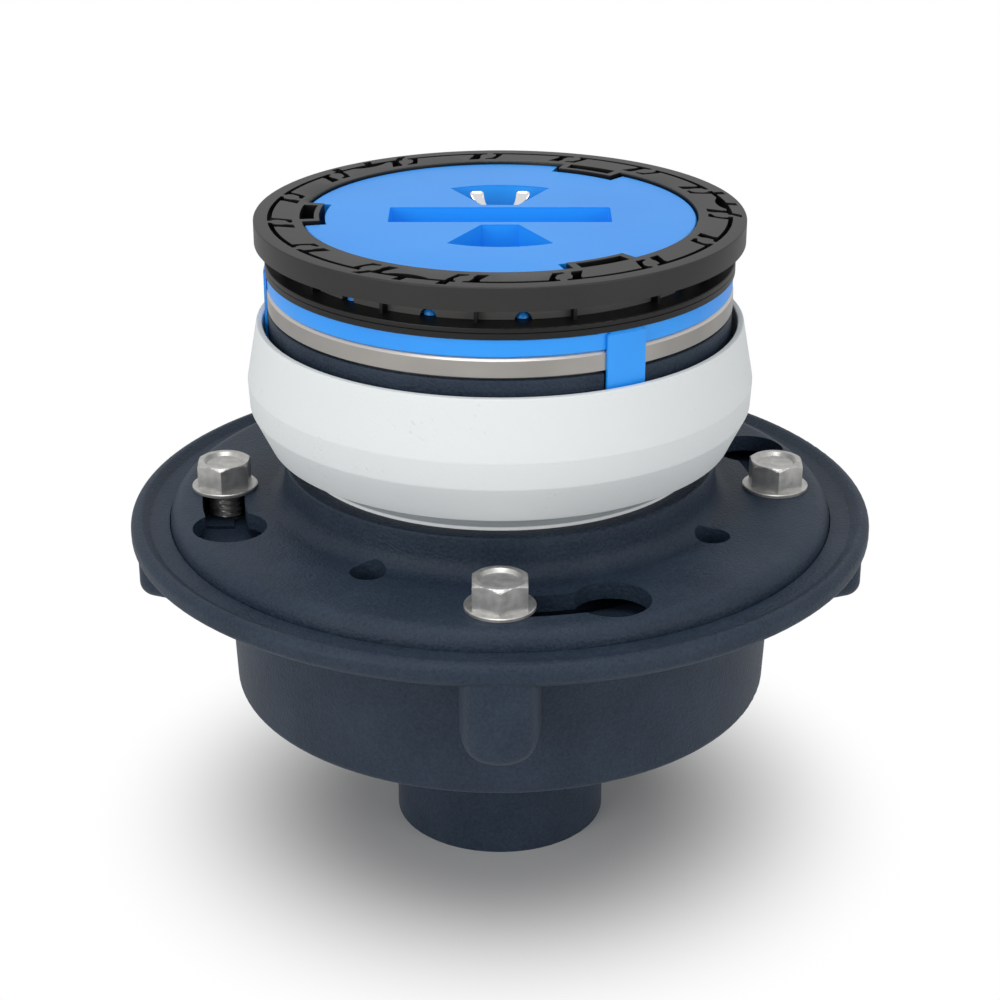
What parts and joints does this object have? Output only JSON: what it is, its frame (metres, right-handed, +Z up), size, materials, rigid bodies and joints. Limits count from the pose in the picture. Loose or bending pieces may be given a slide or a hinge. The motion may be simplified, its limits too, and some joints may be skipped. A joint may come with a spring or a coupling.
{
  "type": "floor drain",
  "caption": "Round adjustable floor drain: cast body with bottom outlet and side bosses, bolted clamp collar, threaded head with strainer, dust cover and guide ring.",
  "frame": {"origin": "centre of the outlet's lower end, which is the bottom of the drain", "axes": "+Z up along the outlet, head and cover; -Y is the pictured front; one clamp bolt is on each of -Y, +X, +Y and -X"},
  "size_m": [0.2032, 0.2032, 0.1782],
  "materials": {
    "coated_iron": "fine pebbled blue-black coating",
    "bolt_steel": "zinc plated",
    "white_foam": "closed-cell foam with fine pits",
    "nickel_bronze": "satin machined",
    "screw_steel": "plain",
    "blue_plastic": "moulded satin",
    "wing_chrome": "polished",
    "black_plastic": "moulded satin"
  },
  "bodies": {
    "drain": {"drain_body": "coated_iron", "clamp_collar": "coated_iron", "clamp_bolt_1": "bolt_steel", "clamp_bolt_2": "bolt_steel", "clamp_bolt_3": "bolt_steel", "clamp_bolt_4": "bolt_steel", "foam_ring": "white_foam"},
    "head": {"head_collar": "coated_iron", "strainer_frame": "nickel_bronze", "frame_screw_1": "screw_steel", "frame_screw_2": "screw_steel", "frame_screw_3": "screw_steel", "strainer_plate": "nickel_bronze", "strainer_screw_1": "screw_steel", "strainer_screw_2": "screw_steel"},
    "cover": {"cover_cap": "blue_plastic", "guide_ring": "black_plastic"},
    "wing": {"wing_screw": "wing_chrome"}
  },
  "joints": [
    {"name": "head_lift", "type": "slide", "parent": "drain", "child": "head", "axis": [0, 0, 1], "range_m": [0, 0.019]},
    {"name": "cover_lift", "type": "slide", "parent": "head", "child": "cover", "axis": [0, 0, 1], "range_m": [0, 0.06]},
    {"name": "wing_screw_turn", "type": "hinge", "parent": "cover", "child": "wing", "pos_m": [0, 0.0203, 0.165], "axis": [0, 0, 1], "continuous": true}
  ]
}
